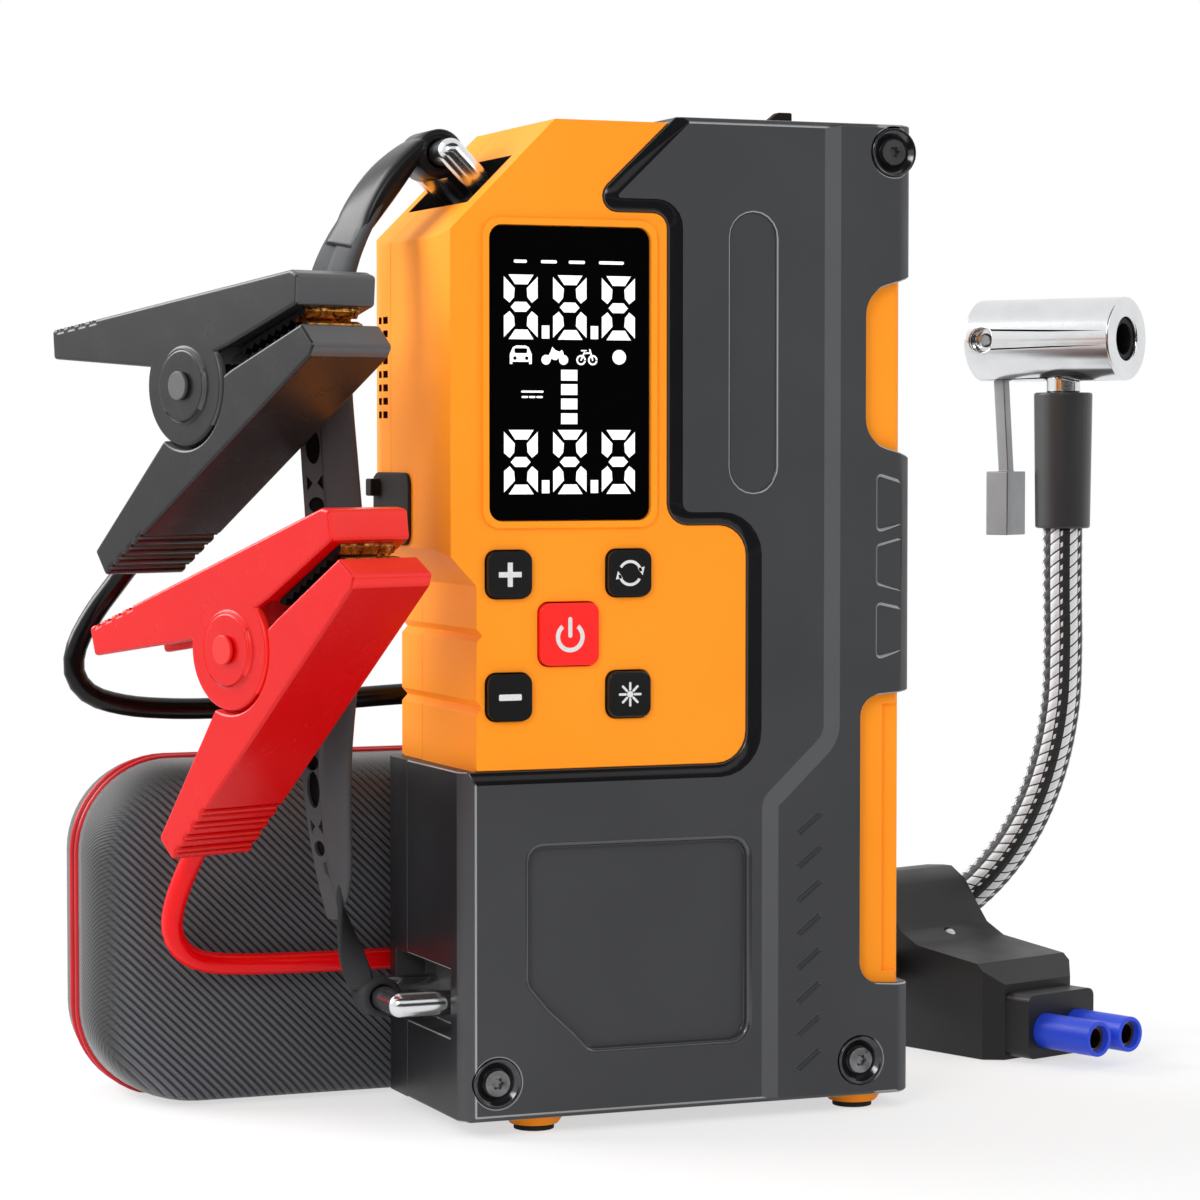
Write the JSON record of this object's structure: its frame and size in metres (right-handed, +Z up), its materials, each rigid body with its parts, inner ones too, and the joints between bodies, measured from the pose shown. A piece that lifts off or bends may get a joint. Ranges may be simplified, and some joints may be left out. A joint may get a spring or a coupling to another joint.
{
  "type": "jump starter pack",
  "caption": "Portable jump starter with a display, buttons and an air pump in a guarded case, with clamp leads, air hose with chuck and a zip case.",
  "frame": {"origin": "floor point under the middle of the footprint of the unit and its storage case", "axes": "+Z up, the display faces -Y, the strap is on the -X side"},
  "size_m": [0.298, 0.1543, 0.2322],
  "materials": {
    "orange_abs": "satin moulded",
    "guard_abs": "fine moulded",
    "screw_steel": "black-zinc",
    "gloss_black": "gloss",
    "display_glass": "gloss",
    "module_dark": "matte",
    "board_green": "solder mask",
    "button_red": "gloss",
    "cell_sleeve": "shrink sleeve",
    "cradle_plastic": "matte",
    "frame_steel": "zinc plated",
    "motor_can": "plated",
    "brass": "turned",
    "acetal": "moulded",
    "cast_aluminium": "machined",
    "blue_nylon": "satin moulded",
    "cover_rubber": "matte",
    "socket_steel": "plated",
    "lamp_polycarbonate": "clear frosted",
    "chrome": "polished",
    "strap_rubber": "matte moulded",
    "clamp_black_abs": "satin moulded",
    "clamp_red_abs": "satin moulded",
    "copper": "copper plated",
    "spring_steel": "drawn",
    "lead_black": "extruded",
    "lead_red": "extruded gloss",
    "box_black_abs": "fine textured",
    "hose_braid": "braided",
    "lever_steel": "pressed",
    "case_fabric": "ribbed weave",
    "piping_red": "piping",
    "zip_metal": "blackened"
  },
  "bodies": {
    "root": {"front_shell": "orange_abs", "rear_shell": "orange_abs", "front_guard": "guard_abs", "rear_guard": "guard_abs", "guard_screws": "screw_steel", "screw_cups": "gloss_black", "display_lens": "display_glass", "display_module": "module_dark", "main_board": "board_green", "tact_switches": "module_dark", "battery_cells": "cell_sleeve", "battery_cradle": "cradle_plastic", "pump_frame": "frame_steel", "pump_motor": "motor_can", "pump_cylinder": "cast_aluminium", "jump_socket": "blue_nylon", "usb_sockets": "socket_steel", "lamp_lens": "lamp_polycarbonate", "air_outlet": "brass", "upper_bar": "chrome", "lower_bar": "chrome", "carry_strap": "strap_rubber", "feet": "orange_abs", "foot_pads": "cover_rubber", "black_clamp_lower_arm": "clamp_black_abs", "black_clamp_lower_jaw": "copper", "red_clamp_lower_arm": "clamp_red_abs", "red_clamp_lower_jaw": "copper", "clamp_pins": "frame_steel", "clamp_springs": "spring_steel", "black_lead": "lead_black", "red_lead": "lead_red", "box_upper_shell": "box_black_abs", "box_lower_shell": "box_black_abs", "jump_plug": "blue_nylon", "plug_contacts": "brass", "box_led": "lamp_polycarbonate", "air_hose": "hose_braid", "hose_sleeve": "cover_rubber", "chuck_barrel": "chrome", "chuck_seal": "cover_rubber", "case_front_shell": "case_fabric", "case_piping": "piping_red", "zip_slider": "zip_metal"},
    "plus_button": {"plus_button": "gloss_black"},
    "minus_button": {"minus_button": "gloss_black"},
    "mode_button": {"mode_button": "gloss_black"},
    "lamp_button": {"lamp_button": "gloss_black"},
    "power_button": {"power_button": "button_red"},
    "port_cover": {"port_cover": "cover_rubber"},
    "top_cover": {"top_cover": "cover_rubber"},
    "crank_gear": {"crank_gear": "acetal"},
    "motor_pinion": {"motor_pinion": "brass"},
    "pump_piston": {"pump_piston": "acetal"},
    "black_upper": {"black_clamp_upper_arm": "clamp_black_abs", "black_clamp_upper_jaw": "copper"},
    "red_upper": {"red_clamp_upper_arm": "clamp_red_abs", "red_clamp_upper_jaw": "copper"},
    "chuck_lever": {"chuck_lever": "lever_steel"},
    "case_rear": {"case_rear_shell": "case_fabric"}
  },
  "joints": [
    {"name": "plus_button_press", "type": "slide", "parent": "root", "child": "plus_button", "axis": [0, 1, 0], "range_m": [0, 0.0008], "stiffness_N_per_m": 300, "springref_m": -0.0003},
    {"name": "minus_button_press", "type": "slide", "parent": "root", "child": "minus_button", "axis": [0, 1, 0], "range_m": [0, 0.0008], "stiffness_N_per_m": 300, "springref_m": -0.0003},
    {"name": "mode_button_press", "type": "slide", "parent": "root", "child": "mode_button", "axis": [0, 1, 0], "range_m": [0, 0.0008], "stiffness_N_per_m": 300, "springref_m": -0.0003},
    {"name": "lamp_button_press", "type": "slide", "parent": "root", "child": "lamp_button", "axis": [0, 1, 0], "range_m": [0, 0.0008], "stiffness_N_per_m": 300, "springref_m": -0.0003},
    {"name": "power_button_press", "type": "slide", "parent": "root", "child": "power_button", "axis": [0, 1, 0], "range_m": [0, 0.0008], "stiffness_N_per_m": 300, "springref_m": -0.0003},
    {"name": "port_cover_hinge", "type": "hinge", "parent": "root", "child": "port_cover", "pos_m": [-0.02785, -0.03105, 0.13975], "axis": [0, 0, 1], "range_deg": [0, 42]},
    {"name": "top_cover_hinge", "type": "hinge", "parent": "root", "child": "top_cover", "pos_m": [0.0505, -0.02855, 0.22885], "axis": [0, -1, 0], "range_deg": [0, 110]},
    {"name": "crank_spin", "type": "hinge", "parent": "root", "child": "crank_gear", "pos_m": [0.0425, -0.03015, 0.184], "axis": [0, 1, 0], "continuous": true},
    {"name": "pinion_spin", "type": "hinge", "parent": "root", "child": "motor_pinion", "pos_m": [0.0425, -0.03015, 0.16465], "axis": [0, 1, 0], "continuous": true},
    {"name": "piston_stroke", "type": "slide", "parent": "root", "child": "pump_piston", "axis": [1, 0, 0], "range_m": [-0.01, 0]},
    {"name": "black_clamp_open", "type": "hinge", "parent": "root", "child": "black_upper", "pos_m": [-0.0682, -0.02155, 0.1674], "axis": [-0.9336, -0.3584, 0], "range_deg": [0, 35], "stiffness_Nm_per_rad": 0.6, "springref_deg": -28.65},
    {"name": "red_clamp_open", "type": "hinge", "parent": "root", "child": "red_upper", "pos_m": [-0.0625, -0.03635, 0.1094], "axis": [-0.9336, -0.3584, 0], "range_deg": [0, 35], "stiffness_Nm_per_rad": 0.6, "springref_deg": -28.65},
    {"name": "chuck_lever_turn", "type": "hinge", "parent": "root", "child": "chuck_lever", "pos_m": [0.17169, 0.05967, 0.1822], "axis": [0.8434, 0.5373, 0], "range_deg": [0, 95]},
    {"name": "case_hinge", "type": "hinge", "parent": "root", "child": "case_rear", "pos_m": [-0.0195, 0.03335, 0.08], "axis": [1, 0, 0], "range_deg": [0, 90]}
  ],
  "couplings": [
    {"joint": "pinion_spin", "follows": "crank_spin", "ratio": -3}
  ]
}
